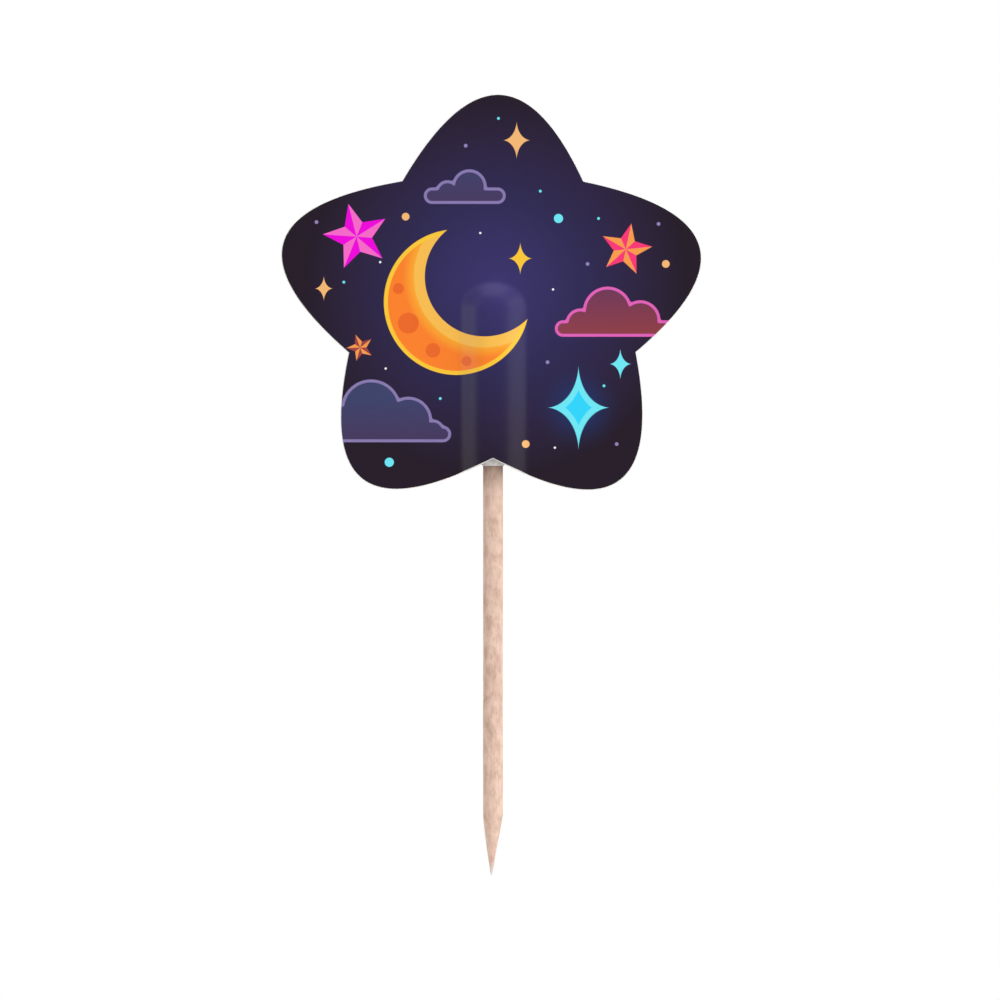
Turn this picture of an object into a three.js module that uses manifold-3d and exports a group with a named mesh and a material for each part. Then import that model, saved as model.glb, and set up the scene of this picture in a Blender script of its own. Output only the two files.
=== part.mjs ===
// A cupcake pick: a five-lobed star made of two glued cards, on a round wooden pick.
// Millimetres, +Z up. The origin is the pick's lower point, and the printed card faces -Y.
// The two cards part round the pick, so each has a low ridge that runs up from the star's lower notch.

import * as THREE from "three";
import { mergeVertices } from "three/addons/utils/BufferGeometryUtils.js";
import Module from "manifold-3d";

// Wooden pick
const pickLength = 63;
const pickDiameter = 2.2;
const taperLength = 6.6; // of the sharpened lower end
const taperFullness = 1.1; // 1 is a straight cone, and more is a fuller one
const pointDiameter = 0.14; // the point's own blunt end
const endRounding = 0.8; // of the hidden upper end
const buriedLength = 17.2; // from the star's lower notch up to the pick's hidden end

// Star cards
const cardThickness = 0.35;
const lobeReach = 23.8; // from the star's centre to the end of a lobe, before the lobe's own excess
const notchRadius = 16.8; // from the star's centre to each notch between two lobes

// The star's lobes, clockwise from the lower left one, no two of them quite alike. A lobe reaches past
// lobeReach by its excess, and leans clockwise by its lean, in degrees. The notch before it lies further
// out than notchRadius by its notchExcess.
const lobes = [
  { excess: 0.1, lean: 1, notchExcess: 0 },
  { excess: 0.3, lean: -1.5, notchExcess: -0.1 },
  { excess: -0.6, lean: 2, notchExcess: 0.2 },
  { excess: -0.1, lean: 2.5, notchExcess: 0.15 },
  { excess: 0, lean: 0, notchExcess: -0.25 },
];

// Ridge that the pick presses into each card
const ridgeSlopeRun = 2.9; // from the pick's side to where the cards meet again
const ridgeDomeRun = 3.3; // from the shoulder of the pick's hidden end up to where they meet again
const ridgeFlatness = 1.4; // 1 is a plain wave, and more keeps the crest flatter

// Adhesives
const filmThickness = 0.1; // film that joins the two cards
const filmMargin = 0.8; // bare strip between the film and the cut edge
const glueThickness = 0.11; // glue line between the pick and each card's crest
const glueSpread = 0.5; // from the pick's side to the edge of the glue
const glueSqueezeOut = 0.6; // glue that shows below the star's lower notch
const glueStop = 2.4; // from the top of the glue up to the shoulder of the pick's hidden end
const fitClearance = 0.02; // between the glue and what it holds

// Smoothness
const pickSides = 24;
const taperSteps = 7;
const roundingSteps = 4;
const lobeSteps = 20;
const ridgeColumns = 20;
const domeRows = 8;

const pickRadius = pickDiameter / 2;
const pointRadius = pointDiameter / 2;
const hiddenShoulder = pickLength - endRounding;
const ridgeHalfWidth = pickRadius + ridgeSlopeRun;
const ridgeTop = hiddenShoulder + ridgeDomeRun;
const crestOpening = pickRadius + glueThickness + 2 * fitClearance;
const notchHeight = pickLength - buriedLength;
const starCentreHeight = notchHeight + notchRadius + lobes[0].notchExcess;

const wasm = await Module();
wasm.setup();

// Materials, in the colours of the finished piece
const printedCard = new THREE.MeshStandardMaterial({ color: 0x352f55, roughness: 0.35, metalness: 0 });
const plainCard = new THREE.MeshStandardMaterial({ color: 0xf2efe8, roughness: 0.8, metalness: 0 });
const birchWood = new THREE.MeshStandardMaterial({ color: 0xe0bfac, roughness: 0.7, metalness: 0 });
const clearFilm = new THREE.MeshStandardMaterial({ color: 0xe9e6da, roughness: 0.4, metalness: 0 });
const whiteGlue = new THREE.MeshStandardMaterial({ color: 0xe6e1d8, roughness: 0.35, metalness: 0 });

// A point at a distance from the star's centre, at an angle clockwise from straight up.
function starPoint(angle, distance) {
  return [distance * Math.sin(angle), distance * Math.cos(angle)];
}

// The star's outline about its centre, drawn in by a margin, from its lower notch round to it again. Each
// lobe is a parabola, whose control point lies as far past the lobe's end as its notches lie before it.
function starOutline(margin) {
  const halfTurn = Math.PI / lobes.length;
  const notch = (place) => {
    const { notchExcess } = lobes[place % lobes.length];
    return starPoint(Math.PI + 2 * place * halfTurn, notchRadius + notchExcess - margin);
  };
  const outline = new THREE.Shape();
  outline.moveTo(...notch(0));
  lobes.forEach(({ excess, lean }, place) => {
    const middle = Math.PI + (2 * place + 1) * halfTurn;
    const reach = lobeReach + excess - margin;
    const control = 2 * reach - (notchRadius - margin) * Math.cos(halfTurn);
    const aim = middle + THREE.MathUtils.degToRad(lean);
    outline.quadraticCurveTo(...starPoint(aim, control), ...notch(place + 1));
  });
  return outline;
}

// From the middle plane between the cards to a card's inner face. The ridge keeps its section up to
// the shoulder of the pick's hidden end, and beyond that it ends in a dome.
function halfOpening(x, z) {
  const pastShoulder = Math.max(z - hiddenShoulder, 0);
  const spread = Math.min(Math.hypot(x / ridgeHalfWidth, pastShoulder / ridgeDomeRun), 1);
  const rise = (1 + Math.cos(Math.PI * spread ** ridgeFlatness)) / 2;
  return filmThickness / 2 + (crestOpening - filmThickness / 2) * rise;
}

// A closed sheet between the surfaces y = low(x, z) and y = high(x, z), which runs well past the star
// that is cut from it.
function ridgedSheet(low, high) {
  const edge = 2 * lobeReach;
  const columns = [-edge];
  for (let i = 0; i <= ridgeColumns; i++) columns.push(ridgeHalfWidth * ((2 * i) / ridgeColumns - 1));
  columns.push(edge);
  const rows = [starCentreHeight - edge];
  for (let j = 0; j <= domeRows; j++) rows.push(hiddenShoulder + (ridgeDomeRun * j) / domeRows);
  rows.push(starCentreHeight + edge);

  const positions = [];
  for (const surface of [low, high]) {
    for (const z of rows) for (const x of columns) positions.push(x, surface(x, z), z);
  }
  const across = columns.length;
  const upper = across * rows.length;
  const index = [];
  const quad = (a, b, c, d) => index.push(a, b, c, a, c, d);
  for (let j = 0; j + 1 < rows.length; j++) {
    for (let i = 0; i + 1 < across; i++) {
      const a = j * across + i;
      quad(a, a + 1, a + across + 1, a + across);
      quad(upper + a, upper + a + across, upper + a + across + 1, upper + a + 1);
    }
    const left = j * across;
    const right = left + across - 1;
    quad(left, left + across, upper + left + across, upper + left);
    quad(right, upper + right, upper + right + across, right + across);
  }
  const lastRow = (rows.length - 1) * across;
  for (let i = 0; i + 1 < across; i++) {
    quad(i, upper + i, upper + i + 1, i + 1);
    quad(lastRow + i, lastRow + i + 1, upper + lastRow + i + 1, upper + lastRow + i);
  }
  const sheet = new THREE.BufferGeometry();
  sheet.setAttribute("position", new THREE.Float32BufferAttribute(positions, 3));
  sheet.setIndex(index);
  return sheet;
}

// The star's outline, drawn in by a margin, as a prism along Y, centred on the middle plane.
function starPrism(margin, depth) {
  const prism = new THREE.ExtrudeGeometry(starOutline(margin), {
    depth,
    bevelEnabled: false,
    curveSegments: lobeSteps,
  });
  prism.rotateX(Math.PI / 2);
  prism.translate(0, depth / 2, starCentreHeight);
  return prism;
}

// A three.js geometry as a solid that can be cut and joined.
function solidOf(geometry) {
  const bare = geometry.clone();
  bare.deleteAttribute("normal");
  bare.deleteAttribute("uv");
  const merged = mergeVertices(bare, 1e-5);
  return new wasm.Manifold(
    new wasm.Mesh({
      numProp: 3,
      vertProperties: merged.attributes.position.array,
      triVerts: new Uint32Array(merged.index.array),
    }),
  );
}

// A solid as a named three.js mesh.
function meshOf(name, solid, material) {
  const { numProp, numVert, vertProperties, triVerts } = solid.getMesh();
  const positions = new Float32Array(numVert * 3);
  for (let i = 0; i < numVert; i++) {
    positions.set(vertProperties.subarray(i * numProp, i * numProp + 3), i * 3);
  }
  const geometry = new THREE.BufferGeometry();
  geometry.setAttribute("position", new THREE.BufferAttribute(positions, 3));
  geometry.setIndex(new THREE.BufferAttribute(triVerts, 1));
  geometry.computeVertexNormals();
  const mesh = new THREE.Mesh(geometry, material);
  mesh.name = name;
  return mesh;
}

// Radius of the pick at a height above its point.
function taperRadius(height) {
  const share = height / taperLength;
  return pointRadius + (pickRadius - pointRadius) * (1 - (1 - share) ** taperFullness);
}

// Round wooden pick, sharpened at the bottom and blunt, with a rounded rim, at its hidden top.
function woodenPick() {
  const profile = [new THREE.Vector2(0, 0)];
  for (let i = 0; i <= taperSteps; i++) {
    const height = (taperLength * i) / taperSteps;
    profile.push(new THREE.Vector2(taperRadius(height), height));
  }
  for (let i = 0; i <= roundingSteps; i++) {
    const angle = (Math.PI / 2) * (i / roundingSteps);
    const drawnIn = endRounding * (1 - Math.cos(angle));
    profile.push(new THREE.Vector2(pickRadius - drawnIn, hiddenShoulder + endRounding * Math.sin(angle)));
  }
  profile.push(new THREE.Vector2(0, pickLength));
  const geometry = new THREE.LatheGeometry(profile, pickSides);
  geometry.rotateX(Math.PI / 2);
  const mesh = new THREE.Mesh(geometry, birchWood);
  mesh.name = "wooden_pick";
  return mesh;
}

// One card of the pair, cut from its sheet by a prism that runs well past it. Side is -1 for the
// printed card in front and 1 for the plain one behind.
function starCard(name, side, material) {
  const inner = (x, z) => side * halfOpening(x, z);
  const outer = (x, z) => side * (halfOpening(x, z) + cardThickness);
  const sheet = side < 0 ? ridgedSheet(outer, inner) : ridgedSheet(inner, outer);
  const depth = 4 * (crestOpening + cardThickness);
  const card = solidOf(sheet).intersect(solidOf(starPrism(0, depth)));
  return meshOf(name, card, material);
}

// Film between the cards: the star drawn in by the bare margin, with a slot for the ridge, which runs
// out through the star's lower notch and well past it.
function adhesiveFilm() {
  const film = starPrism(filmMargin, filmThickness);
  const slotWidth = 2 * (ridgeHalfWidth + fitClearance);
  const slotBottom = starCentreHeight - 2 * notchRadius;
  const slotHeight = ridgeTop + fitClearance - slotBottom;
  const slot = new THREE.BoxGeometry(slotWidth, 4 * filmThickness, slotHeight);
  slot.translate(0, 0, slotBottom + slotHeight / 2);
  return meshOf("adhesive_film", solidOf(film).subtract(solidOf(slot)), clearFilm);
}

// Glue round the pick, which fills the ridge beside it and plugs its mouth at the star's lower notch.
// The bore that clears the pick runs well past both of its ends.
function glueBead() {
  const face = (x, z) => halfOpening(x, z) - fitClearance;
  const filling = ridgedSheet((x, z) => -face(x, z), face);
  const bottom = notchHeight - glueSqueezeOut;
  const height = hiddenShoulder - glueStop - bottom;
  const stretch = new THREE.BoxGeometry(2 * (pickRadius + glueSpread), 4 * crestOpening, height);
  stretch.translate(0, 0, bottom + height / 2);
  const boreRadius = pickRadius + fitClearance;
  const bore = new THREE.CylinderGeometry(boreRadius, boreRadius, 2 * height, 2 * pickSides);
  bore.rotateX(Math.PI / 2);
  bore.translate(0, 0, bottom + height / 2);
  const bead = solidOf(filling).intersect(solidOf(stretch)).subtract(solidOf(bore));
  return meshOf("glue_bead", bead, whiteGlue);
}

const cupcakePick = new THREE.Group();
cupcakePick.add(
  woodenPick(),
  starCard("front_card", -1, printedCard),
  starCard("back_card", 1, plainCard),
  adhesiveFilm(),
  glueBead(),
);

export default cupcakePick;
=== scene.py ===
"""A cupcake pick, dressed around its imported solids: a printed star of two glued cards on a wooden pick.

Everything is in metres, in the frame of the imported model: +Z up along the pick, the printed card facing
-Y and the origin at the pick's point. Only the finishes and the print's motifs are in millimetres.
"""

import logging
import math
from abc import ABC, abstractmethod
from collections.abc import Callable, Sequence
from dataclasses import dataclass
from enum import Enum, IntEnum

import bpy
from bpy.types import Material, Object
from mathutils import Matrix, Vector, noise

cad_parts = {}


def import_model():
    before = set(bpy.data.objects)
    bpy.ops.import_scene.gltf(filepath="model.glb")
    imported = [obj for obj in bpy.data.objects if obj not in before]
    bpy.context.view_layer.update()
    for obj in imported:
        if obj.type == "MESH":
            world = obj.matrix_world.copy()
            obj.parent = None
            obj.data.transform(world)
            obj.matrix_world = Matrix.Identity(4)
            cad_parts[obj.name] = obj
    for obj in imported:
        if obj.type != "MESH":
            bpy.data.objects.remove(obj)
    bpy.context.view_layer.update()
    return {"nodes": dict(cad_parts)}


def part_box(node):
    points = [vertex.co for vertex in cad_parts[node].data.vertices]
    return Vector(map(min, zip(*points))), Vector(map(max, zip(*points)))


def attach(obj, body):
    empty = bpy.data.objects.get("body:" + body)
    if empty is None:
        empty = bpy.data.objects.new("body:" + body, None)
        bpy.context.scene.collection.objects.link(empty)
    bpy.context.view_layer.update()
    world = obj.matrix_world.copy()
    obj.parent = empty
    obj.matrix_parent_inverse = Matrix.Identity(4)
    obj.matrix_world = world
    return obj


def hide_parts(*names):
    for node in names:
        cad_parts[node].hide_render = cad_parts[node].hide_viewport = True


MM = 0.001
ROOT = "root"

log = logging.getLogger("cupcake_pick")

Colour = tuple[float, float, float, float]


class Side(IntEnum):
    """A card's side of the middle plane, as the sign of Y."""

    FRONT = -1
    BACK = 1


def linear(code: str) -> Colour:
    """Turns a screen colour into the linear one that shaders take.

    Args:
        code: Six hexadecimal digits, red first.

    Returns:
        Linear red, green and blue, and full opacity.
    """
    shares = [int(code[start:start + 2], 16) / 255 for start in (0, 2, 4)]
    red, green, blue = (s / 12.92 if s <= 0.04045 else ((s + 0.055) / 1.055) ** 2.4 for s in shares)
    return red, green, blue, 1.0


def clamp(value: float) -> float:
    """The value, kept from 0 to 1."""
    return min(max(value, 0), 1)


class Ink(Enum):
    """The inks of the printed card, as screen colours."""

    NIGHT_GLOW = "3c3670"
    NIGHT_BLUE = "2f2951"
    NIGHT_PLUM = "2c223d"
    NIGHT_EDGE = "251b28"
    ORANGE = "fd832d"
    DEEP_ORANGE = "ee6a2a"
    APRICOT = "fabf53"
    YELLOW = "fdc939"
    PEACH = "f7ba77"
    CYAN = "70e8f6"
    SKY = "32d5fd"
    DEEP_BLUE = "163f81"
    MAGENTA = "f001dd"
    PINK = "f86ccb"
    HOT_PINK = "fb3978"
    CORAL = "f99d4e"
    LAVENDER = "9384bd"
    MAROON = "9f4447"
    VIOLET = "4c3c64"
    MULBERRY = "7c3d5c"
    SLATE = "414873"
    WHITE = "ffffff"

    @property
    def colour(self) -> Colour:
        """The ink as a linear colour."""
        return linear(self.value)


class Link:
    """An output in a node tree. Arithmetic on it adds Math nodes."""

    def __init__(self, tree: "NodeTree", socket: bpy.types.NodeSocket) -> None:
        """Wraps an output socket of a tree."""
        self.tree = tree
        self.socket = socket

    def __add__(self, other: "Link | float") -> "Link":
        """This plus other."""
        return self.tree.math("ADD", self, other)

    def __radd__(self, other: float) -> "Link":
        """Other plus this."""
        return self.tree.math("ADD", other, self)

    def __sub__(self, other: "Link | float") -> "Link":
        """This less other."""
        return self.tree.math("SUBTRACT", self, other)

    def __rsub__(self, other: float) -> "Link":
        """Other less this."""
        return self.tree.math("SUBTRACT", other, self)

    def __mul__(self, other: "Link | float") -> "Link":
        """This times other."""
        return self.tree.math("MULTIPLY", self, other)

    def __rmul__(self, other: float) -> "Link":
        """Other times this."""
        return self.tree.math("MULTIPLY", other, self)

    def __truediv__(self, other: "Link | float") -> "Link":
        """This over other."""
        return self.tree.math("DIVIDE", self, other)

    def __rtruediv__(self, other: float) -> "Link":
        """Other over this."""
        return self.tree.math("DIVIDE", other, self)

    def __pow__(self, power: "Link | float") -> "Link":
        """This to a power."""
        return self.tree.math("POWER", self, power)

    def __abs__(self) -> "Link":
        """The size of this."""
        return self.tree.math("ABSOLUTE", self)

    def least(self, other: "Link | float") -> "Link":
        """The smaller of this and other."""
        return self.tree.math("MINIMUM", self, other)

    def most(self, other: "Link | float") -> "Link":
        """The larger of this and other."""
        return self.tree.math("MAXIMUM", self, other)

    def share(self, low: float, high: float) -> "Link":
        """How far this has come from low to high, from 0 to 1."""
        return self.tree.node("ShaderNodeMapRange", {"clamp": True}, {0: self, 1: low, 2: high})

    def above(self, level: float, softness: float) -> "Link":
        """A mask that is 1 where this is above a level, with a soft edge."""
        return self.share(level - softness / 2, level + softness / 2)


Value = Link | float | Sequence[float]


@dataclass(frozen=True)
class Pattern:
    """Soft noise over a piece, with about this many waves a millimetre along each axis."""

    x: float
    y: float
    z: float
    detail: float = 2.0
    roughness: float = 0.5


class NodeTree:
    """A node tree, and the ways to add to it."""

    def __init__(self, tree: bpy.types.NodeTree) -> None:
        """Takes a tree and empties it."""
        self.tree = tree
        self.tree.nodes.clear()

    def node(
        self,
        kind: str,
        settings: dict[str, object] | None = None,
        inputs: dict[int | str, Value] | None = None,
        output: int | str = 0,
    ) -> Link:
        """Adds a node.

        Args:
            kind: The node's type.
            settings: Its own properties, set first. "stops" fills a colour ramp.
            inputs: Numbers, colours or links, by the socket's index or name.
            output: The output socket that is handed back.

        Returns:
            The node's output.
        """
        made = self.tree.nodes.new(kind)
        for name, setting in (settings or {}).items():
            if name == "stops":
                self._fill_ramp(made.color_ramp, setting)
            else:
                setattr(made, name, setting)
        for key, value in (inputs or {}).items():
            if isinstance(value, Link):
                self.tree.links.new(value.socket, made.inputs[key])
            else:
                made.inputs[key].default_value = value
        return Link(self, made.outputs[output])

    @staticmethod
    def _fill_ramp(ramp: bpy.types.ColorRamp, stops: Sequence[tuple[float, Colour]]) -> None:
        """Gives a colour ramp its stops.

        Args:
            ramp: The ramp of a new node.
            stops: Places from 0 to 1 and their colours, in order.
        """
        while len(ramp.elements) < len(stops):
            ramp.elements.new(1.0)
        for element, (position, colour) in zip(ramp.elements, stops):
            element.position = position
            element.color = colour

    def end(self, kind: str, surface: Link) -> None:
        """Adds an output node that takes a surface."""
        end = self.tree.nodes.new(kind)
        self.tree.links.new(surface.socket, end.inputs[0])

    def math(self, operation: str, *values: Link | float) -> Link:
        """Adds a Math node on the given values."""
        return self.node("ShaderNodeMath", {"operation": operation}, dict(enumerate(values)))

    def vector(
        self, operation: str, first: Value, second: Value | None = None, scale: float | None = None
    ) -> Link:
        """Adds a Vector Math node.

        Args:
            operation: The node's operation.
            first: Its first vector.
            second: Its second vector, where the operation has one.
            scale: Its scale, where the operation has one.

        Returns:
            The vector, or the number where the operation gives one.
        """
        inputs: dict[int | str, Value] = {0: first}
        if second is not None:
            inputs[1] = second
        if scale is not None:
            inputs["Scale"] = scale
        number = operation in ("DISTANCE", "LENGTH")
        return self.node("ShaderNodeVectorMath", {"operation": operation}, inputs, 1 if number else 0)

    def parts(self, vector: Link) -> tuple[Link, Link, Link]:
        """Splits a vector.

        Args:
            vector: The vector.

        Returns:
            Its X, Y and Z.
        """
        split = self.node("ShaderNodeSeparateXYZ", inputs={0: vector}).socket.node
        x, y, z = (Link(self, split.outputs[axis]) for axis in range(3))
        return x, y, z


class Shader(NodeTree):
    """A material's node tree."""

    def __init__(self, name: str) -> None:
        """Starts an empty material.

        Args:
            name: The material's name.
        """
        self.material = bpy.data.materials.new(name)
        self.material.use_nodes = True
        super().__init__(self.material.node_tree)
        coordinates = self.node("ShaderNodeTexCoord", output="Object")
        self.place = self.vector("SCALE", coordinates, scale=1 / MM)

    def stretched(self, x: float, y: float, z: float) -> Link:
        """The place on the piece in millimetres, times a factor on each axis."""
        return self.vector("MULTIPLY", self.place, (x, y, z))

    def noise(self, pattern: Pattern) -> Link:
        """Soft noise from 0 to 1 over the piece.

        Args:
            pattern: How fine and how rough it is.

        Returns:
            The noise.
        """
        place = self.stretched(pattern.x, pattern.y, pattern.z)
        inputs = {"Vector": place, "Scale": 1, "Detail": pattern.detail, "Roughness": pattern.roughness}
        return self.node("ShaderNodeTexNoise", inputs=inputs)

    def mix(self, factor: Link | float, first: Value, second: Value, blend: str = "MIX") -> Link:
        """One colour turning into its blend with another as the factor goes from 0 to 1."""
        settings = {"data_type": "RGBA", "clamp_factor": True, "blend_type": blend}
        return self.node("ShaderNodeMix", settings, {0: factor, 6: first, 7: second}, 2)

    def ramp(self, factor: Link, stops: Sequence[tuple[float, Colour]]) -> Link:
        """A colour ramp with these stops."""
        return self.node("ShaderNodeValToRGB", {"stops": stops}, {0: factor})

    def bump(self, height: Link, depth: float, strength: float) -> Link:
        """A normal bent by a height from 0 to 1, which is that deep in millimetres."""
        inputs = {"Strength": strength, "Distance": depth * MM, "Height": height}
        return self.node("ShaderNodeBump", inputs=inputs)

    def finish(self, **sockets: Value) -> Material:
        """Closes the material with a Principled shader.

        Args:
            **sockets: Its inputs, with underscores for the spaces in their names.

        Returns:
            The finished material.
        """
        inputs = {name.replace("_", " "): value for name, value in sockets.items()}
        return self.close(self.node("ShaderNodeBsdfPrincipled", inputs=inputs))

    def close(self, surface: Link) -> Material:
        """Closes the material with any surface."""
        self.end("ShaderNodeOutputMaterial", surface)
        return self.material


@dataclass(frozen=True)
class Lobe:
    """What sets one lobe of the star apart.

    It has extra reach and a clockwise lean in degrees, and the notch before it lies further out.
    """

    excess: float
    lean: float
    notch_excess: float


@dataclass(frozen=True)
class StarShape:
    """The star's outline: lobes of parabolas between evenly spread notches, no two lobes quite alike.

    The lobes are listed clockwise from the lower left one.
    """

    centre: Vector
    reach: float = 23.8 * MM
    notch_radius: float = 16.8 * MM
    lobes: tuple[Lobe, ...] = (
        Lobe(0.1 * MM, 1, 0),
        Lobe(0.3 * MM, -1.5, -0.1 * MM),
        Lobe(-0.6 * MM, 2, 0.2 * MM),
        Lobe(-0.1 * MM, 2.5, 0.15 * MM),
        Lobe(0, 0, -0.25 * MM),
    )

    def spot(self, angle: float, distance: float) -> Vector:
        """The place at a distance from the centre, at an angle clockwise from straight up."""
        return self.centre + Vector((math.sin(angle), 0, math.cos(angle))) * distance

    def notches(self) -> list[Vector]:
        """Finds the notches.

        Returns:
            The notch before each lobe, clockwise from the lower one.
        """
        turn = math.tau / len(self.lobes)
        return [
            self.spot(math.pi + place * turn, self.notch_radius + lobe.notch_excess)
            for place, lobe in enumerate(self.lobes)
        ]

    def controls(self) -> list[Vector]:
        """Finds the control point of each lobe's curve.

        Returns:
            Points as far past the lobes' ends as their notches lie before them.
        """
        half_turn = math.pi / len(self.lobes)
        before = self.notch_radius * math.cos(half_turn)
        points = []
        for place, lobe in enumerate(self.lobes):
            middle = math.pi + (2 * place + 1) * half_turn
            control = 2 * (self.reach + lobe.excess) - before
            points.append(self.spot(middle + math.radians(lobe.lean), control))
        return points


@dataclass(frozen=True)
class Ridge:
    """The low ridge that the hidden stretch of the pick presses into each card."""

    pick_radius: float
    shoulder: float
    crest: float
    foot: float
    side_run: float = 2.9 * MM
    dome_run: float = 3.3 * MM
    flatness: float = 1.4

    def rise(self, place: Vector) -> float:
        """How high the ridge is at a place.

        Args:
            place: A place on a card.

        Returns:
            A share of its full height, from 0 to 1.
        """
        half_width = self.pick_radius + self.side_run
        past_shoulder = max(place.z - self.shoulder, 0)
        spread = min(math.hypot(place.x / half_width, past_shoulder / self.dome_run), 1)
        return (1 + math.cos(math.pi * spread**self.flatness)) / 2

    def opening(self, place: Vector) -> float:
        """From the middle plane to a card's inner face."""
        return self.foot + (self.crest - self.foot) * self.rise(place)


def start_edit(piece: Object, kind: str = "VERT") -> None:
    """Opens a piece in edit mode with all of it selected.

    Args:
        piece: The piece.
        kind: VERT, EDGE or FACE, whichever is selected from then on.
    """
    bpy.context.view_layer.objects.active = piece
    bpy.ops.object.mode_set(mode="EDIT")
    bpy.ops.mesh.select_mode(type=kind)
    bpy.ops.mesh.select_all(action="SELECT")


def end_edit() -> None:
    """Goes back to object mode."""
    bpy.ops.object.mode_set(mode="OBJECT")


def face_outwards() -> None:
    """Selects all of a closed mesh in edit mode, faces it outwards and goes back to object mode."""
    bpy.ops.mesh.select_all(action="SELECT")
    bpy.ops.mesh.normals_make_consistent(inside=False)
    end_edit()


def select_only(piece: Object) -> None:
    """Selects a piece alone and makes it the active one.

    Args:
        piece: The piece.
    """
    bpy.ops.object.select_all(action="DESELECT")
    piece.select_set(True)
    bpy.context.view_layer.objects.active = piece


def name_piece(name: str) -> Object:
    """Names the piece that was just added, and its mesh.

    Args:
        name: The piece's name.

    Returns:
        The piece.
    """
    piece = bpy.context.object
    piece.name = name
    piece.data.name = name
    return piece


def place_in_mesh(piece: Object) -> None:
    """Moves a piece's place, turn and scale into its mesh."""
    select_only(piece)
    bpy.ops.object.transform_apply(location=True, rotation=True, scale=True)


def smooth(piece: Object, degrees: float) -> None:
    """Shades a piece smooth, apart from edges sharper than an angle."""
    select_only(piece)
    bpy.ops.object.shade_smooth_by_angle(angle=math.radians(degrees))


def modify(piece: Object, kind: str, **settings: object) -> None:
    """Adds a modifier to a piece and applies it.

    Args:
        piece: The piece.
        kind: The modifier's type.
        **settings: The modifier's own properties.
    """
    modifier = piece.modifiers.new(kind.title(), kind)
    for name, setting in settings.items():
        setattr(modifier, name, setting)
    bpy.context.view_layer.objects.active = piece
    bpy.ops.object.modifier_apply(modifier=modifier.name)


def push(
    piece: Object,
    amount: Callable[[Vector], float],
    strength: float,
    direction: str = "NORMAL",
) -> None:
    """Moves a piece's surface by an amount painted on its vertices.

    Args:
        piece: The piece to move.
        amount: A share from 0 to 1 at each vertex.
        strength: How far a share of 1 moves, in metres.
        direction: X, Y, Z or NORMAL.
    """
    group = piece.vertex_groups.new(name="amount")
    for vertex in piece.data.vertices:
        group.add([vertex.index], amount(vertex.co), "REPLACE")
    modify(piece, "DISPLACE", vertex_group=group.name, strength=strength, mid_level=0, direction=direction)
    piece.vertex_groups.clear()


@dataclass(frozen=True)
class PrintSheet:
    """The printed face as a place to draw on, in millimetres from the star's centre: across, nothing, up."""

    shader: Shader
    place: Link
    edge: float = 0.05

    def inside(self, distance: Link) -> Link:
        """A mask that is 1 where a distance from an outline is negative."""
        return 1 - distance.above(0, self.edge)

    def offset(self, across: float, up: float) -> Link:
        """The way to the place from a spot on the sheet."""
        return self.shader.vector("SUBTRACT", self.place, (across, 0, up))


@dataclass(frozen=True)
class Disc:
    """A round spot on the sheet."""

    across: float
    up: float
    radius: float

    def distance(self, sheet: PrintSheet) -> Link:
        """Distance out from the spot's edge."""
        return sheet.shader.vector("DISTANCE", sheet.place, (self.across, 0, self.up)) - self.radius


class Motif(ABC):
    """Something printed on the sheet."""

    @abstractmethod
    def layer(self, sheet: PrintSheet) -> tuple[Link, Value]:
        """Draws the motif.

        Args:
            sheet: The sheet that is drawn on.

        Returns:
            How much it covers, from 0 to 1, and its colour.
        """

    def paint(self, sheet: PrintSheet, ground: Link) -> Link:
        """Paints the motif over what is printed so far."""
        cover, tone = self.layer(sheet)
        return sheet.shader.mix(cover, ground, tone)


@dataclass(frozen=True)
class Crescent(Motif):
    """A crescent moon: a disc with another taken out of it, in two tones with a bright rim and craters."""

    disc: Disc
    bite: Disc
    craters: tuple[Disc, ...]
    rim: float
    band: float

    def layer(self, sheet: PrintSheet) -> tuple[Link, Value]:
        """Draws the moon.

        Args:
            sheet: The sheet that is drawn on.

        Returns:
            How much it covers, from 0 to 1, and its colour.
        """
        shader = sheet.shader
        outer = self.disc.distance(sheet)
        inner = self.bite.distance(sheet)
        tone = shader.mix(inner.share(0, 2 * self.band), Ink.YELLOW.colour, Ink.ORANGE.colour)
        tone = shader.mix(sheet.inside(inner - self.band), tone, Ink.APRICOT.colour)
        for crater in self.craters:
            tone = shader.mix(sheet.inside(crater.distance(sheet)), tone, Ink.DEEP_ORANGE.colour)
        tone = shader.mix(sheet.inside(0 - outer - self.rim), tone, Ink.YELLOW.colour)
        return sheet.inside(outer.most(0 - inner)), tone


@dataclass(frozen=True)
class Sparkle(Motif):
    """A four-pointed sparkle with curved sides."""

    across: float
    up: float
    width: float
    height: float
    ink: Ink
    fullness: float = 0.58
    softness: float = 0.04

    def layer(self, sheet: PrintSheet) -> tuple[Link, Value]:
        """Draws the sparkle.

        Args:
            sheet: The sheet that is drawn on.

        Returns:
            How much it covers, from 0 to 1, and its colour.
        """
        shader = sheet.shader
        x, _, z = shader.parts(shader.vector("ABSOLUTE", sheet.offset(self.across, self.up)))
        reach = (x / self.width) ** self.fullness + (z / self.height) ** self.fullness
        return 1 - reach.above(1, self.softness), self.ink.colour


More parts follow.
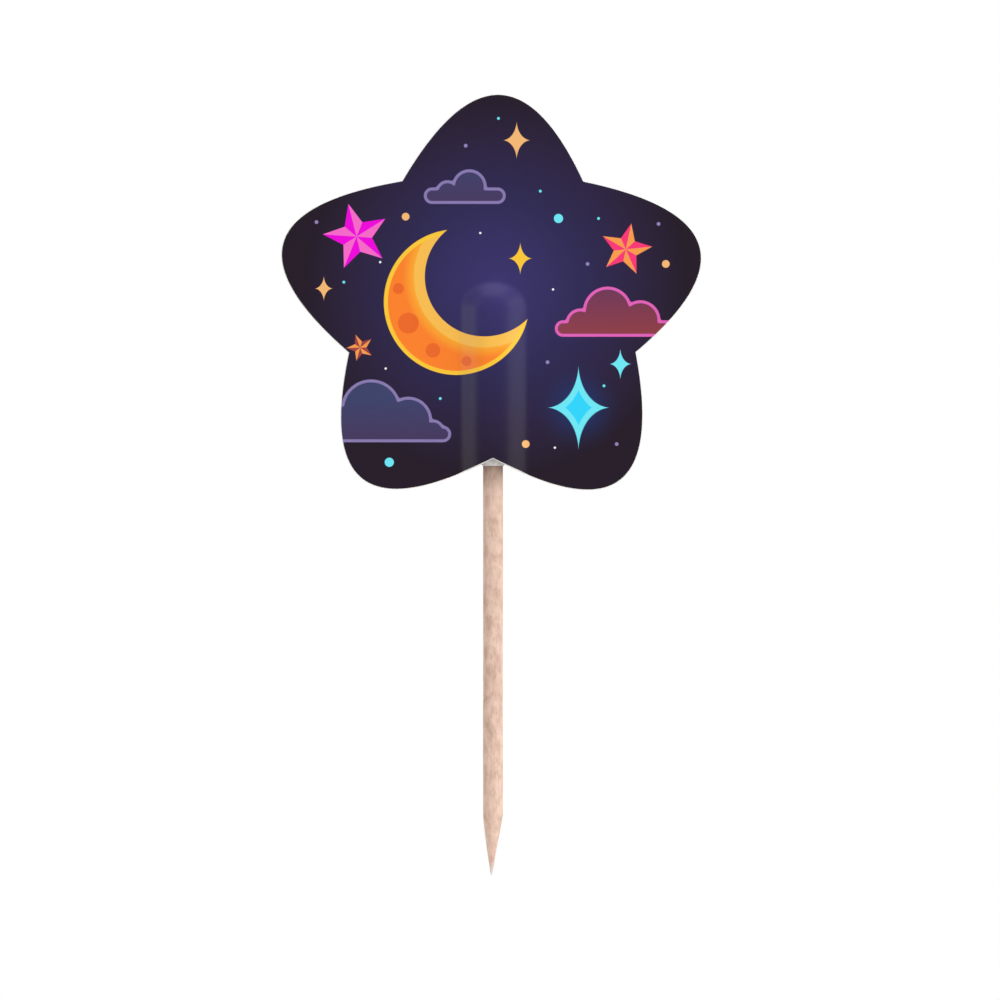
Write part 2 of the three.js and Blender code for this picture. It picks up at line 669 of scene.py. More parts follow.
@dataclass(frozen=True)
class FacetStar(Motif):
    """A pointed star whose points each have a light and a dark side."""

    across: float
    up: float
    radius: float
    turn: float
    light: Ink
    dark: Ink
    waist: float = 0.46
    points: int = 5
    seam: float = 0.01

    def layer(self, sheet: PrintSheet) -> tuple[Link, Value]:
        """Draws the star.

        Args:
            sheet: The sheet that is drawn on.

        Returns:
            How much it covers, from 0 to 1, and its colour.
        """
        shader = sheet.shader
        half_turn = math.pi / self.points
        offset = sheet.offset(self.across, self.up)
        x, _, z = shader.parts(offset)
        angle = shader.math("ARCTAN2", x, z) + math.radians(self.turn)
        folded = shader.math("WRAP", angle, half_turn, -half_turn)
        length = shader.vector("LENGTH", offset)
        size = abs(folded)
        out = length * shader.math("COSINE", size)
        aside = length * shader.math("SINE", size)
        waist = self.radius * self.waist
        run = waist * math.sin(half_turn)
        fall = self.radius - waist * math.cos(half_turn)
        distance = ((out - self.radius) * run + aside * fall) / math.hypot(run, fall)
        tone = shader.mix(folded.above(0, self.seam), self.dark.colour, self.light.colour)
        return sheet.inside(distance), tone


@dataclass(frozen=True)
class Cloud(Motif):
    """A cloud of round puffs on a bar with round ends."""

    left: float
    right: float
    base: float
    puffs: tuple[Disc, ...]
    ink: Ink = Ink.VIOLET
    light: Ink = Ink.SLATE
    trim: Ink = Ink.LAVENDER
    cover: float = 0.85
    fade: float = 5.0
    bar: float = 0.9
    blend: float = 0.4
    line: float = 0.32

    def layer(self, sheet: PrintSheet) -> tuple[Link, Value]:
        """Draws the cloud.

        Args:
            sheet: The sheet that is drawn on.

        Returns:
            How much it covers, from 0 to 1, and its colour.
        """
        shader = sheet.shader
        across, _, up = shader.parts(sheet.place)
        middle = (self.left + self.right) / 2
        past_end = (abs(across - middle) - ((self.right - self.left) / 2 - self.bar)).most(0)
        rise = up - (self.base + self.bar)
        distance = (past_end * past_end + rise * rise) ** 0.5 - self.bar
        for puff in self.puffs:
            distance = shader.math("SMOOTH_MIN", distance, puff.distance(sheet), self.blend)
        distance = distance.most(self.base - up)
        tone = shader.mix((up - self.base).share(0, self.fade), self.ink.colour, self.light.colour)
        tone = shader.mix(sheet.inside(0 - distance - self.line), tone, self.trim.colour)
        return sheet.inside(distance) * self.cover, tone


@dataclass(frozen=True)
class Confetti(Motif):
    """Dots of one ink and one size, each a distance across and up."""

    ink: Ink
    radius: float
    places: tuple[tuple[float, float], ...]

    def layer(self, sheet: PrintSheet) -> tuple[Link, Value]:
        """Draws the dots.

        Args:
            sheet: The sheet that is drawn on.

        Returns:
            How much they cover, from 0 to 1, and their colour.
        """
        nearest, *others = (Disc(across, up, self.radius).distance(sheet) for across, up in self.places)
        for other in others:
            nearest = nearest.least(other)
        return sheet.inside(nearest), self.ink.colour


@dataclass(frozen=True)
class Glow(Motif):
    """A soft round glow."""

    disc: Disc
    ink: Ink
    cover: float

    def layer(self, sheet: PrintSheet) -> tuple[Link, Value]:
        """Draws the glow, strongest in its middle."""
        fade = 1 - self.disc.distance(sheet).share(-self.disc.radius, 0)
        return fade * fade * self.cover, self.ink.colour


NIGHT_SHADES = (
    (0.0, Ink.NIGHT_GLOW),
    (0.5, Ink.NIGHT_BLUE),
    (0.78, Ink.NIGHT_PLUM),
    (1.0, Ink.NIGHT_EDGE),
)

NIGHT_PARTY: tuple[Motif, ...] = (
    Cloud(
        left=-22.0,
        right=-4.6,
        base=-15.0,
        puffs=(
            Disc(-17.4, -13.2, 2.6),
            Disc(-13.4, -11.4, 3.3),
            Disc(-9.3, -12.6, 2.6),
            Disc(-6.6, -13.8, 1.3),
        ),
    ),
    Cloud(
        left=6.8,
        right=21.0,
        base=-3.4,
        puffs=(Disc(9.6, -1.9, 1.6), Disc(12.6, -0.6, 2.7), Disc(16.2, -1.6, 2.2)),
        ink=Ink.MAROON,
        light=Ink.MULBERRY,
        trim=Ink.PINK,
        cover=0.8,
    ),
    Cloud(
        left=-7.6,
        right=1.4,
        base=11.2,
        puffs=(Disc(-5.0, 12.5, 1.3), Disc(-2.6, 13.1, 1.9)),
    ),
    Glow(Disc(9.4, -11.2, 5.2), Ink.DEEP_BLUE, 0.9),
    Crescent(
        disc=Disc(-4.0, 0.4, 8.0),
        bite=Disc(-0.9, 3.2, 6.6),
        craters=(
            Disc(-9.3, -1.9, 1.15),
            Disc(-6.6, -4.9, 0.8),
            Disc(-10.4, 1.9, 0.6),
            Disc(-2.9, -6.1, 0.55),
        ),
        rim=0.45,
        band=1.2,
    ),
    Sparkle(9.4, -11.2, 3.4, 4.6, Ink.CYAN),
    Sparkle(9.4, -11.2, 1.5, 2.0, Ink.SKY, 0.8),
    Sparkle(14.0, -6.4, 1.2, 1.7, Ink.CYAN),
    Sparkle(2.6, 18.2, 1.5, 2.1, Ink.PEACH),
    Sparkle(3.0, 5.2, 1.3, 1.8, Ink.YELLOW),
    Sparkle(-18.6, 1.9, 1.0, 1.4, Ink.PEACH),
    FacetStar(-15.0, 7.6, 3.7, 14, Ink.PINK, Ink.MAGENTA),
    FacetStar(14.6, 6.2, 2.9, -12, Ink.CORAL, Ink.HOT_PINK),
    FacetStar(-14.6, -4.6, 1.5, 20, Ink.CORAL, Ink.MAROON),
    Confetti(Ink.CYAN, 0.5, ((7.2, 9.6), (-11.4, -17.2))),
    Confetti(Ink.PEACH, 0.42, ((19.0, 4.6), (3.6, -15.2), (-9.6, 9.8))),
    Confetti(
        Ink.LAVENDER,
        0.2,
        ((-3.0, 17.6), (10.4, 4.6), (18.2, 9.0), (-19.4, 9.2), (6.0, -6.2), (13.6, -15.2)),
    ),
    Confetti(
        Ink.CYAN,
        0.15,
        ((0.6, 20.6), (5.2, 12.6), (11.6, 9.6), (-16.4, 2.6), (12.2, -8.8), (-5.8, -10.2)),
    ),
    Confetti(
        Ink.WHITE,
        0.12,
        ((-1.4, 8.0), (6.6, 1.8), (-12.4, 4.8), (16.6, -8.6), (6.8, -15.6), (-11.8, -6.9)),
    ),
)


@dataclass(frozen=True)
class PrintedFinish:
    """Night-sky party print on coated card, with a satin sheen.

    The ground's shades run outwards from the middle of its glow.
    """

    star: StarShape
    motifs: tuple[Motif, ...] = NIGHT_PARTY
    shades: tuple[tuple[float, Ink], ...] = NIGHT_SHADES
    glow: tuple[float, float] = (0.4, 2.2)
    glow_radius: float = 21.0
    grain: Pattern = Pattern(9, 9, 9, detail=3)
    ripple: Pattern = Pattern(0.35, 0.35, 0.35, detail=1)
    grain_height: float = 0.2
    roughness: float = 0.27
    roughness_spread: float = 0.14
    gloss: float = 0.14
    relief: float = 0.02
    relief_strength: float = 0.6

    def material(self) -> Material:
        """Builds the material.

        Returns:
            The finished material.
        """
        shader = Shader("printed_card")
        centre = (self.star.centre.x / MM, 0.0, self.star.centre.z / MM)
        sheet = PrintSheet(shader, shader.vector("SUBTRACT", shader.stretched(1, 0, 1), centre))
        colour = self._night(sheet)
        for motif in self.motifs:
            colour = motif.paint(sheet, colour)
        grain = shader.noise(self.grain)
        height = grain * self.grain_height + shader.noise(self.ripple)
        return shader.finish(
            Base_Color=colour,
            Roughness=self.roughness + grain * self.roughness_spread,
            Specular_IOR_Level=self.gloss,
            Normal=shader.bump(height, self.relief, self.relief_strength),
        )

    def _night(self, sheet: PrintSheet) -> Link:
        """Draws the dark ground, which glows blue round the middle and goes to plum at the edges.

        Args:
            sheet: The sheet that is drawn on.

        Returns:
            The ground's colour.
        """
        across, up = self.glow
        distance = sheet.shader.vector("DISTANCE", sheet.place, (across, 0, up)) / self.glow_radius
        return sheet.shader.ramp(distance, [(share, ink.colour) for share, ink in self.shades])


@dataclass(frozen=True)
class BoardFinish:
    """Bare white card, with the faint mottle and tooth of its fibres."""

    name: str
    light: Colour
    shade: Colour
    tooth: float
    mottle: Pattern = Pattern(0.5, 0.5, 0.5)
    fibres: Pattern = Pattern(6, 6, 14, detail=4, roughness=0.65)
    mottle_share: float = 0.35
    tones: tuple[float, float] = (0.3, 0.7)
    roughness: float = 0.78
    roughness_spread: float = 0.15
    tooth_strength: float = 0.7

    def material(self) -> Material:
        """Builds the material.

        Returns:
            The finished material.
        """
        shader = Shader(self.name)
        fibres = shader.noise(self.fibres)
        tone = shader.noise(self.mottle) * self.mottle_share + fibres * (1 - self.mottle_share)
        return shader.finish(
            Base_Color=shader.mix(tone.share(*self.tones), self.shade, self.light),
            Roughness=self.roughness + fibres * self.roughness_spread,
            Normal=shader.bump(fibres, self.tooth, self.tooth_strength),
        )


@dataclass(frozen=True)
class WoodFinish:
    """Sanded birch: pale, blotched with pink and tan, with long fibres, and darker just below the glue.

    That darkening is painted shade, the shadow of the cards over the pick's top, together with glue soaked
    into the wood. It ends at its top and the bare end at the point, both as heights in millimetres. Pairs of
    numbers say between which levels of a noise one tone turns into the next.
    """

    soak_shade_top: float
    light: Colour = linear("eacab8")
    pink: Colour = linear("cca494")
    tan: Colour = linear("c4a58e")
    fleck: Colour = linear("a8836f")
    bare_end: Colour = linear("e2dad5")
    # Painted shade with glue soak: the wood is multiplied by this just below the glue, where the cards shade
    # the pick.
    glue_soak_and_shade: Colour = linear("a9a5a2")
    fibres: Pattern = Pattern(8, 8, 0.3, detail=4, roughness=0.6)
    blotches: Pattern = Pattern(1.5, 1.5, 0.75, detail=3, roughness=0.55)
    hue: Pattern = Pattern(0.8, 0.8, 0.42)
    flecks: Pattern = Pattern(3.4, 3.4, 1.5)
    pink_to_tan: tuple[float, float] = (0.42, 0.58)
    dark_to_light: tuple[float, float] = (0.36, 0.6)
    clear_to_fleck: tuple[float, float] = (0.56, 0.74)
    blotch_share: float = 0.72
    fleck_cover: float = 0.45
    bare_cover: float = 0.75
    bare_heights: tuple[float, float] = (0.1, 1.9)
    soak_shade_run: float = 3.4
    soak_shade_patchiness: float = 0.4
    fibre_height: float = 0.7
    roughness: float = 0.62
    roughness_spread: float = 0.2
    relief: float = 0.03
    relief_strength: float = 0.8

    def material(self) -> Material:
        """Builds the material.

        Returns:
            The finished material.
        """
        shader = Shader("birch_wood")
        _, _, height = shader.parts(shader.place)
        fibres = shader.noise(self.fibres)
        blotches = shader.noise(self.blotches)
        flecks = shader.noise(self.flecks)
        dark = shader.mix(shader.noise(self.hue).share(*self.pink_to_tan), self.pink, self.tan)
        tone = blotches * self.blotch_share + fibres * (1 - self.blotch_share)
        colour = shader.mix(tone.share(*self.dark_to_light), dark, self.light)
        colour = shader.mix(flecks.share(*self.clear_to_fleck) * self.fleck_cover, colour, self.fleck)
        bare = (1 - height.share(*self.bare_heights)) * self.bare_cover
        colour = shader.mix(bare, colour, self.bare_end)
        # Painted shade of the cards over the pick's top, with glue soaked into the wood: darker towards the
        # glue, in patches.
        patches = (blotches - 0.5) * self.soak_shade_patchiness
        soak = height.share(self.soak_shade_top - self.soak_shade_run, self.soak_shade_top) + patches
        relief = fibres * self.fibre_height + flecks * (1 - self.fibre_height)
        return shader.finish(
            Base_Color=shader.mix(soak.share(0, 1), colour, self.glue_soak_and_shade, "MULTIPLY"),
            Roughness=self.roughness + blotches * self.roughness_spread,
            Normal=shader.bump(relief, self.relief, self.relief_strength),
        )


@dataclass(frozen=True)
class GlueFinish:
    """Dried white glue, slightly see-through and glossy, its grey-white partly painted shade."""

    # Partly painted shade: the glue's white is darkened to the shaded grey under the cards' notch.
    colour: Colour = linear("bdb7b6")
    clouds: Pattern = Pattern(1.8, 1.8, 1.8, detail=3)
    clear_to_white: tuple[float, float] = (0.3, 0.9)
    white_cover: float = 0.6
    roughness: float = 0.28
    roughness_spread: float = 0.15
    see_through: float = 0.35
    soak: tuple[float, float, float] = (0.6, 0.5, 0.4)
    relief: float = 0.03
    relief_strength: float = 0.5

    def material(self) -> Material:
        """Builds the material.

        Returns:
            The finished material.
        """
        shader = Shader("white_glue")
        clouds = shader.noise(self.clouds)
        white = clouds.share(*self.clear_to_white) * self.white_cover
        return shader.finish(
            Base_Color=shader.mix(white, self.colour, Ink.WHITE.colour),
            Roughness=self.roughness + clouds * self.roughness_spread,
            Subsurface_Weight=self.see_through,
            Subsurface_Radius=tuple(run * MM for run in self.soak),
            Normal=shader.bump(clouds, self.relief, self.relief_strength),
        )


@dataclass(frozen=True)
class FilmFinish:
    """Clear adhesive film, seen at its edge between the cards."""

    colour: Colour = linear("e8e4d4")
    haze: Pattern = Pattern(2.5, 2.5, 2.5)
    roughness: float = 0.35
    roughness_spread: float = 0.2

    def material(self) -> Material:
        """Builds the material.

        Returns:
            The finished material.
        """
        shader = Shader("adhesive_film")
        haze = shader.noise(self.haze)
        colour = shader.mix(haze, self.colour, Ink.WHITE.colour)
        return shader.finish(Base_Color=colour, Roughness=self.roughness + haze * self.roughness_spread)


@dataclass
class StarCard:
    """One die-cut card of the glued pair, with the ridge that the pick presses into it."""

    name: str
    side: Side
    star: StarShape
    ridge: Ridge
    thickness: float = 0.35 * MM
    cut_rounding: float = 0.07 * MM
    cut_segments: int = 3
    cut_angle: float = 65.0
    lobe_steps: int = 64
    rings: int = 72
    weld: float = 0.01 * MM
    crease: float = 40.0

    def build(self, face: Material, core: Material) -> Object:
        """Makes the card.

        Args:
            face: The finish of its outer face.
            core: The finish of its cut edge and its inner face.

        Returns:
            The finished card.
        """
        card = self._outline()
        self._fill(card)
        push(card, self.ridge.rise, self.side * (self.ridge.crest - self.ridge.foot), "Y")
        card.data.materials.append(face)
        card.data.materials.append(core)
        self._thicken(card)
        smooth(card, self.crease)
        return card

    def _outline(self) -> Object:
        """Draws each lobe as a curve, and joins them into one closed outline.

        Returns:
            The card, with the outline as its only edges.
        """
        notches = self.star.notches()
        ends = notches[1:] + notches[:1]
        lobes = [self._lobe(*curve) for curve in zip(notches, self.star.controls(), ends)]
        for lobe in lobes:
            lobe.select_set(True)
        bpy.ops.object.join()
        bpy.ops.object.convert(target="MESH")
        card = name_piece(self.name)
        start_edit(card)
        bpy.ops.mesh.remove_doubles(threshold=self.weld)
        end_edit()
        return card

    def _lobe(self, first: Vector, control: Vector, last: Vector) -> Object:
        """Draws one lobe as a parabola.

        Args:
            first: The notch where it starts.
            control: The point that it is drawn towards.
            last: The notch where it ends.

        Returns:
            The lobe's curve.
        """
        bpy.ops.object.select_all(action="DESELECT")
        bpy.ops.curve.primitive_bezier_curve_add()
        lobe = bpy.context.object
        lobe.data.resolution_u = self.lobe_steps
        inner_face = Vector((0, self.side * self.ridge.foot, 0))
        for point, notch in zip(lobe.data.splines[0].bezier_points, (first, last)):
            point.handle_left_type = point.handle_right_type = "FREE"
            point.co = notch + inner_face
            point.handle_left = point.handle_right = notch.lerp(control, 2 / 3) + inner_face
        return lobe

    def _fill(self, card: Object) -> None:
        """Fills the outline with rings drawn in to the star's centre, and faces it away from the pick.

        Args:
            card: The card's outline.
        """
        start_edit(card, "EDGE")
        for ring in range(self.rings, 1, -1):
            share = (ring - 1) / ring
            bpy.ops.mesh.extrude_edges_move()
            bpy.ops.transform.resize(value=(share, 1, share), center_override=self.star.centre)
        bpy.ops.mesh.extrude_edges_move()
        bpy.ops.mesh.merge(type="CENTER")
        face_outwards()
        if card.data.polygons[0].normal.y * self.side < 0:
            start_edit(card)
            bpy.ops.mesh.flip_normals()
            end_edit()

    def _thicken(self, card: Object) -> None:
        """Gives the card its thickness, outwards, and its slightly rounded cut edge.

        Args:
            card: The card's sheet, whose second material is its core.
        """
        modify(
            card,
            "SOLIDIFY",
            thickness=self.thickness,
            offset=1,
            use_even_offset=True,
            material_offset_rim=1,
        )
        for polygon in card.data.polygons:
            if polygon.normal.y * self.side < 0:
                polygon.material_index = 1
        modify(
            card,
            "BEVEL",
            width=self.cut_rounding,
            segments=self.cut_segments,
            limit_method="ANGLE",
            angle_limit=math.radians(self.cut_angle),
            material=1,
        )


def fibre_noise(place: Vector, across: float, along: float) -> float:
    """Noise from -1 to 1 at a place, with about this many waves a millimetre across and along the pick."""
    return noise.noise(Vector((place.x * across, place.y * across, place.z * along)) / MM)


@dataclass
class WoodenPick:
    """The round wooden pick: a worn sharp point below and a blunt hidden end above.

    Its buried length runs from the star's lower notch to the hidden end. Each kind of grain has about so
    many waves a millimetre, across and along the pick.
    """

    length: float
    radius: float
    buried: float = 17.2 * MM
    taper: float = 6.6 * MM
    fullness: float = 1.1
    point_radius: float = 0.07 * MM
    point_flat: float = 0.6
    end_rounding: float = 0.8 * MM
    lean: float = -0.16 * MM
    grain_depth: float = 0.03 * MM
    grain_level: float = 0.45
    fine_grain: tuple[float, float] = (5, 0.12)
    fine_share: float = 0.5
    broad_grain: tuple[float, float] = (0.9, 0.1)
    broad_share: float = 0.35
    fray: float = 0.05 * MM
    fray_reach: float = 1.6 * MM
    fray_level: float = 0.5
    fray_grain: tuple[float, float] = (14, 1.5)
    sides: int = 96
    step: float = 0.5 * MM
    taper_steps: int = 22
    end_steps: int = 6
    crease: float = 60.0

    def build(self, wood: Material) -> Object:
        """Makes the pick.

        Args:
            wood: Its finish.

        Returns:
            The finished pick.
        """
        bpy.ops.object.select_all(action="DESELECT")
        (height, radius), *others = self._profile()
        bpy.ops.mesh.primitive_circle_add(
            vertices=self.sides, radius=radius, fill_type="NGON", location=(0, 0, height)
        )
        pick = name_piece("wooden_pick_dressed")
        place_in_mesh(pick)
        start_edit(pick, "FACE")
        for next_height, next_radius in others:
            bpy.ops.mesh.extrude_region_move(TRANSFORM_OT_translate={"value": (0, 0, next_height - height)})
            ratio = next_radius / radius
            bpy.ops.transform.resize(value=(ratio, ratio, 1), center_override=(0, 0, next_height))
            height, radius = next_height, next_radius
        face_outwards()
        push(pick, self._grain, -self.grain_depth)
        push(pick, self._frayed, self.fray)
        push(pick, self._towards_point, self.lean, "X")
        pick.data.materials.append(wood)
        smooth(pick, self.crease)
        return pick

    def _profile(self) -> list[tuple[float, float]]:
        """Works out the pick's outline.

        Returns:
            Heights and radii, from the point up to the hidden end.
        """
        shoulder = self.length - self.end_rounding
        profile = [(0.0, self.point_radius * self.point_flat)]
        for step in range(1, self.taper_steps + 1):
            share = step / self.taper_steps
            full = 1 - (1 - share) ** self.fullness
            radius = self.point_radius + (self.radius - self.point_radius) * full
            profile.append((self.taper * share, radius))
        straight = shoulder - self.taper
        rows = round(straight / self.step)
        profile += [(self.taper + straight * row / rows, self.radius) for row in range(1, rows + 1)]
        for step in range(1, self.end_steps + 1):
            angle = math.pi / 2 * step / self.end_steps
            radius = self.radius - self.end_rounding * (1 - math.cos(angle))
            profile.append((shoulder + self.end_rounding * math.sin(angle), radius))
        return profile

    def _grain(self, place: Vector) -> float:
        """How deep the grain is at a place: long fine grooves over broader flats."""
        fine, broad = fibre_noise(place, *self.fine_grain), fibre_noise(place, *self.broad_grain)
        return clamp(self.grain_level + self.fine_share * fine + self.broad_share * broad)

    def _frayed(self, place: Vector) -> float:
        """How far the worn fibres at the point stand out at a place."""
        near_point = max(1 - place.z / self.fray_reach, 0)
        return near_point * clamp(self.fray_level + fibre_noise(place, *self.fray_grain))

    def _towards_point(self, place: Vector) -> float:
        """How much of the point's lean a place takes."""
        return max(1 - (place.z / self.taper) ** 2, 0)


@dataclass
class GlueBead:
    """The glue round the pick, which fills the ridge beside it and is squeezed out of its mouth.

    Its lower face creeps down the pick and rises towards the cards, as wet glue does before it sets.
    """

    bottom: float
    top: float
    half_width: float
    ridge: Ridge
    clearance: float = 0.02 * MM
    glue_line: float = 0.11 * MM
    creep: float = 0.16 * MM
    edge_rise: float = 0.3 * MM
    edge_curl: float = 1.6
    unevenness: float = 0.12 * MM
    lump_rate: float = 0.9
    rise_reach: float = 0.8 * MM
    fit_rate: float = 2.5
    sides: int = 120
    face_steps: int = 10
    low_step: float = 0.1 * MM
    low_rows: int = 9
    long_rows: int = 6
    weld: float = 0.002 * MM
    crease: float = 60.0

    @property
    def bore(self) -> float:
        """Radius of its inner wall, just clear of the pick."""
        return self.ridge.pick_radius + self.clearance

    @property
    def half_depth(self) -> float:
        """From the pick's axis to the outer skin before it is fitted to the cards."""
        return self.bore + self.glue_line

    def build(self, glue: Material) -> Object:
        """Makes the bead.

        Args:
            glue: Its finish.

        Returns:
            The finished bead.
        """
        bpy.ops.object.select_all(action="DESELECT")
        bpy.ops.mesh.primitive_circle_add(
            vertices=self.sides, radius=self.bore, location=(0, 0, self.bottom)
        )
        bead = name_piece("glue_bead_dressed")
        place_in_mesh(bead)
        start_edit(bead, "EDGE")
        shares = [step / self.face_steps for step in range(self.face_steps + 1)]
        self._draw_ring(shares, self.bottom)
        long_step = (self.top - self.bottom - self.low_rows * self.low_step) / self.long_rows
        lifts = [self.low_step] * self.low_rows + [long_step] * self.long_rows
        self._lift_ring(lifts)
        self._draw_ring(shares[::-1], self.top)
        self._lift_ring([-lift for lift in reversed(lifts)])
        bpy.ops.mesh.select_all(action="SELECT")
        bpy.ops.mesh.remove_doubles(threshold=self.weld)
        face_outwards()
        for side in Side:
            push(bead, lambda place, side=side: self._fit(place, side), side * self.half_depth, "Y")
        push(bead, self._rise, self.edge_rise, "Z")
        push(bead, self._creep, -self.creep - self.unevenness, "Z")
        bead.data.materials.append(glue)
        smooth(bead, self.crease)
        return bead

    def _draw_ring(self, shares: Sequence[float], height: float) -> None:
        """Draws the selected ring between the bore and the outer skin.

        Args:
            shares: How far out the ring is at each step, from 0 at the bore to 1 at the skin.
            height: Height of the ring.
        """
        widths = [self.bore + (self.half_width - self.bore) * share for share in shares]
        depths = [self.bore + (self.half_depth - self.bore) * share for share in shares]
        for step in range(len(shares) - 1):
            bpy.ops.mesh.extrude_edges_move()
            across, along = widths[step + 1] / widths[step], depths[step + 1] / depths[step]
            bpy.ops.transform.resize(value=(across, along, 1), center_override=(0, 0, height))

    @staticmethod
    def _lift_ring(lifts: Sequence[float]) -> None:
        """Draws the selected ring up or down by each of these lengths in turn."""
        for lift in lifts:
            bpy.ops.mesh.extrude_edges_move(TRANSFORM_OT_translate={"value": (0, 0, lift)})

    def _out(self, place: Vector) -> float:
        """How far out a place is.

        Args:
            place: A place on the bead.

        Returns:
            A share from 0 at the bore to 1 at the skin.
        """
        angle = math.atan2(place.y / self.half_depth, place.x / self.half_width)
        skin = math.hypot(math.cos(angle) * self.half_width, math.sin(angle) * self.half_depth)
        return clamp((math.hypot(place.x, place.y) - self.bore) / (skin - self.bore))

    def _fit(self, place: Vector, side: Side) -> float:
        """How far a place on one side moves out to the card.

        Args:
            place: A place on the bead.
            side: The side that is being fitted.

        Returns:
            A share of the half depth, and 0 on the other side.
        """
        if place.y * side <= 0:
            return 0
        room = self.ridge.opening(place) - self.clearance - abs(place.y)
        upright = abs(place.y) / self.half_depth
        return clamp(room * self._out(place) * min(upright * self.fit_rate, 1) / self.half_depth)

    def _near_face(self, place: Vector) -> float:
        """How near a place is to the lower face, from 0 to 1."""
        return max(1 - (place.z - self.bottom) / self.rise_reach, 0)

    def _rise(self, place: Vector) -> float:
        """How far the lower face rises towards the cards."""
        return self._near_face(place) * self._out(place) ** self.edge_curl

    def _creep(self, place: Vector) -> float:
        """How far the lower face creeps down the pick, and unevenly.

        Args:
            place: A place on the bead.

        Returns:
            A share of the most that it moves, from 0 to 1.
        """
        uneven = 0.5 + 0.5 * noise.noise(place / MM * self.lump_rate)
        lowest = self.creep * (1 - self._out(place)) ** 2 + self.unevenness * uneven
        return self._near_face(place) * lowest / (self.creep + self.unevenness)


@dataclass(frozen=True)
class SoftBox:
    """A square soft light that faces the object.

    Its share is how bright it alone makes a white card that squarely faces the camera, or has its back
    to it where the light is behind.
    """

    name: str
    azimuth: float
    elevation: float
    share: float
    size: float = 0.5
    distance: float = 0.6

    def hang(self, target: Vector) -> None:
        """Hangs the light at its distance from what it lights.

        Args:
            target: The place that it faces.
        """
        azimuth, elevation = math.radians(self.azimuth), math.radians(self.elevation)
        level = math.cos(elevation)
        direction = Vector((math.sin(azimuth) * level, -math.cos(azimuth) * level, math.sin(elevation)))
        bpy.ops.object.light_add(type="AREA", location=target + direction * self.distance)
        light = bpy.context.object
        light.name = self.name
        light.rotation_euler = direction.to_track_quat("Z", "Y").to_euler()
        light.data.energy = self.share * (math.pi * self.distance) ** 2 / abs(math.cos(azimuth) * level)
        light.data.size = self.size


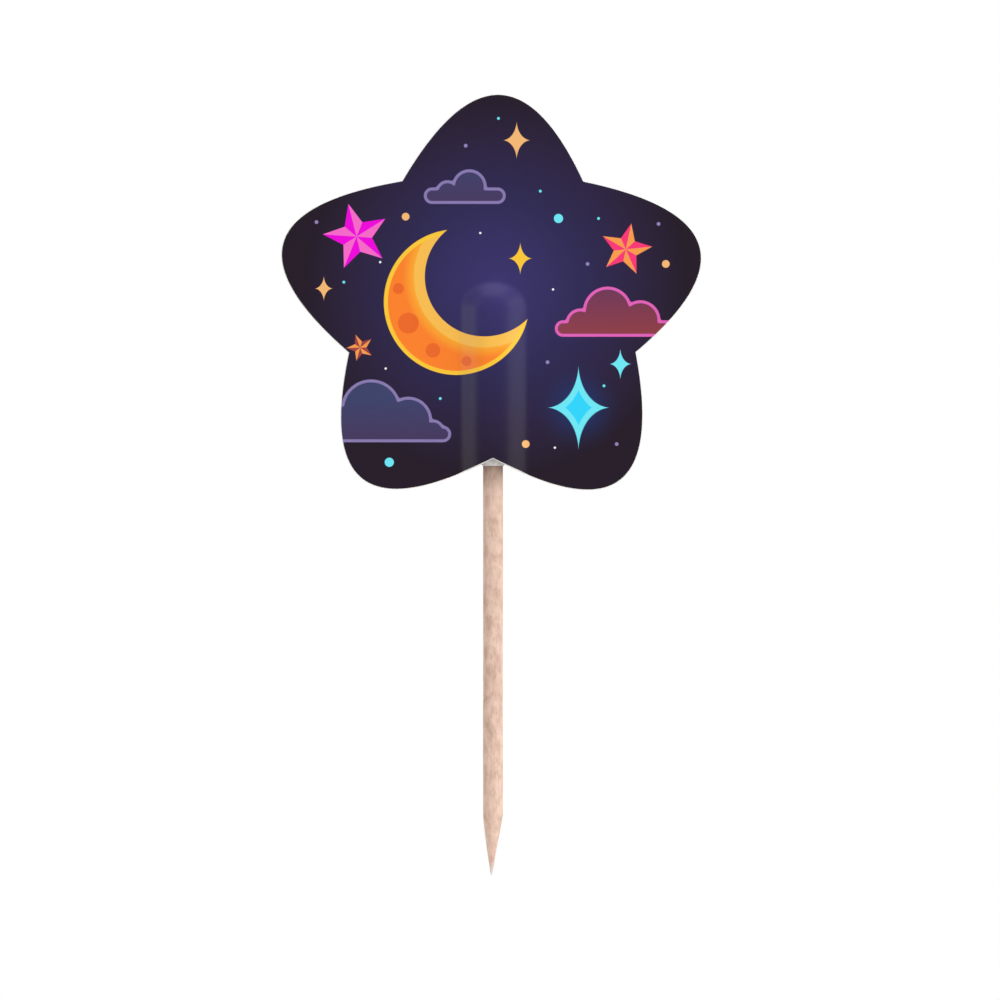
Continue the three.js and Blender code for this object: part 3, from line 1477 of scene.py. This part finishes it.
@dataclass
class Studio:
    """The camera, the lights, the white surroundings and the pale floor."""

    view_across: float = 0.77 * MM
    view_height: float = 41.25 * MM
    view_width: float = 110 * MM
    lens: float = 200.0
    sensor: float = 36.0
    nearest: float = 0.01
    fill: float = 0.285
    floor_height: float = -36 * MM
    floor_radius: float = 0.19
    floor_fade: tuple[float, float] = (0.45, 0.98)
    floor_sides: int = 96
    floor_colour: Colour = linear("f2f1ee")
    boxes: tuple[SoftBox, ...] = (
        SoftBox("key_box", azimuth=4, elevation=73, share=0.18, size=0.5),
        SoftBox("right_box", azimuth=63, elevation=12, share=0.35, size=0.6),
        SoftBox("left_box", azimuth=-54, elevation=2, share=0.092, size=0.18),
        SoftBox("middle_left_box", azimuth=-52, elevation=16, share=0.022, size=0.15),
        SoftBox("upper_left_box", azimuth=-42, elevation=32, share=0.038, size=0.26),
        SoftBox("rear_right_box", azimuth=132, elevation=28, share=0.16),
        SoftBox("rear_left_box", azimuth=-165, elevation=35, share=0.44),
    )

    def build(self) -> None:
        """Sets up the studio."""
        view_centre = Vector((self.view_across, 0, self.view_height))
        self._camera(view_centre)
        self._surroundings()
        for box in self.boxes:
            box.hang(view_centre)
        self._floor()

    def _camera(self, view_centre: Vector) -> None:
        """Looks along +Y, from where the view's width fills the frame.

        Args:
            view_centre: The middle of the view.
        """
        away = Vector((0, self.view_width * self.lens / self.sensor, 0))
        bpy.ops.object.camera_add(location=view_centre - away, rotation=(math.pi / 2, 0, 0))
        camera = bpy.context.object
        camera.name = "camera"
        camera.data.lens = self.lens
        camera.data.sensor_width = self.sensor
        camera.data.clip_start = self.nearest
        bpy.context.scene.camera = camera

    def _surroundings(self) -> None:
        """Lights the scene dimly from all round, and shows plain white behind it."""
        world = bpy.data.worlds.new("surroundings")
        world.use_nodes = True
        bpy.context.scene.world = world
        bpy.context.scene.view_settings.view_transform = "Standard"
        tree = NodeTree(world.node_tree)
        shown = tree.node("ShaderNodeBackground", inputs={"Color": (1, 1, 1, 1)})
        dim = tree.node("ShaderNodeBackground", inputs={"Color": (self.fill, self.fill, self.fill, 1)})
        seen = tree.node("ShaderNodeLightPath", output="Is Camera Ray")
        both = tree.node("ShaderNodeMixShader", inputs={0: seen, 1: dim, 2: shown})
        tree.end("ShaderNodeOutputWorld", both)

    def _floor(self) -> None:
        """Lays a pale round floor under the pick, which fades out before its rim."""
        bpy.ops.object.select_all(action="DESELECT")
        bpy.ops.mesh.primitive_circle_add(
            vertices=self.floor_sides,
            radius=self.floor_radius,
            fill_type="TRIFAN",
            location=(0, 0, self.floor_height),
        )
        floor = name_piece("floor")
        place_in_mesh(floor)
        shader = Shader("pale_floor")
        distance = shader.vector("LENGTH", shader.stretched(MM, MM, 0))
        fade = distance.share(*(share * self.floor_radius for share in self.floor_fade))
        paint = shader.node("ShaderNodeBsdfDiffuse", inputs={"Color": self.floor_colour})
        clear = shader.node("ShaderNodeBsdfTransparent")
        faded = shader.node("ShaderNodeMixShader", inputs={0: fade, 1: paint, 2: clear})
        floor.data.materials.append(shader.close(faded))


def main() -> None:
    """Builds the studio and each piece in order, and says which body and node each one goes with."""
    logging.basicConfig(level=logging.INFO, format="%(name)s: %(message)s")
    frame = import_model()
    bpy.ops.object.select_all(action="DESELECT")

    Studio().build()

    _, film_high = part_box("adhesive_film")
    card_low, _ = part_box("front_card")
    _, pick_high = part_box("wooden_pick")
    bead_low, bead_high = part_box("glue_bead")
    pick = WoodenPick(length=pick_high.z, radius=pick_high.x)
    star = StarShape(Vector((0, 0, pick.length - pick.buried + StarShape.notch_radius)))
    ridge = Ridge(
        pick_radius=pick.radius,
        shoulder=pick.length - pick.end_rounding,
        crest=-card_low.y - StarCard.thickness,
        foot=film_high.y,
    )
    front = StarCard("front_card_dressed", Side.FRONT, star, ridge)
    back = StarCard("back_card_dressed", Side.BACK, star, ridge)
    bead = GlueBead(bottom=bead_low.z, top=bead_high.z, half_width=bead_high.x, ridge=ridge)

    board = BoardFinish("white_board", linear("f8f7f4"), linear("efedea"), tooth=0.03).material()
    core = BoardFinish("cut_edge", linear("f5f4f1"), linear("dfdcd7"), tooth=0.06).material()
    # The wood's painted shade and glue soak end at the glue's lower face.
    wood = WoodFinish(soak_shade_top=bead_low.z / MM).material()
    glue = GlueFinish().material()

    for piece, node, slot in (
        (front.build(PrintedFinish(star).material(), core), "front_card", "printed_card"),
        (back.build(board, core), "back_card", "plain_card"),
        (pick.build(wood), "wooden_pick", "birch_wood"),
        (bead.build(glue), "glue_bead", "white_glue"),
    ):
        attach(piece, ROOT)
        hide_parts(node)
        log.info("%s stands for %s with %d faces", piece.name, node, len(piece.data.polygons))

    film = frame["nodes"]["adhesive_film"]
    film.data.materials.clear()
    film.data.materials.append(FilmFinish().material())
    log.info("%s keeps its packed shape", film.name)


if __name__ == "__main__":
    main()
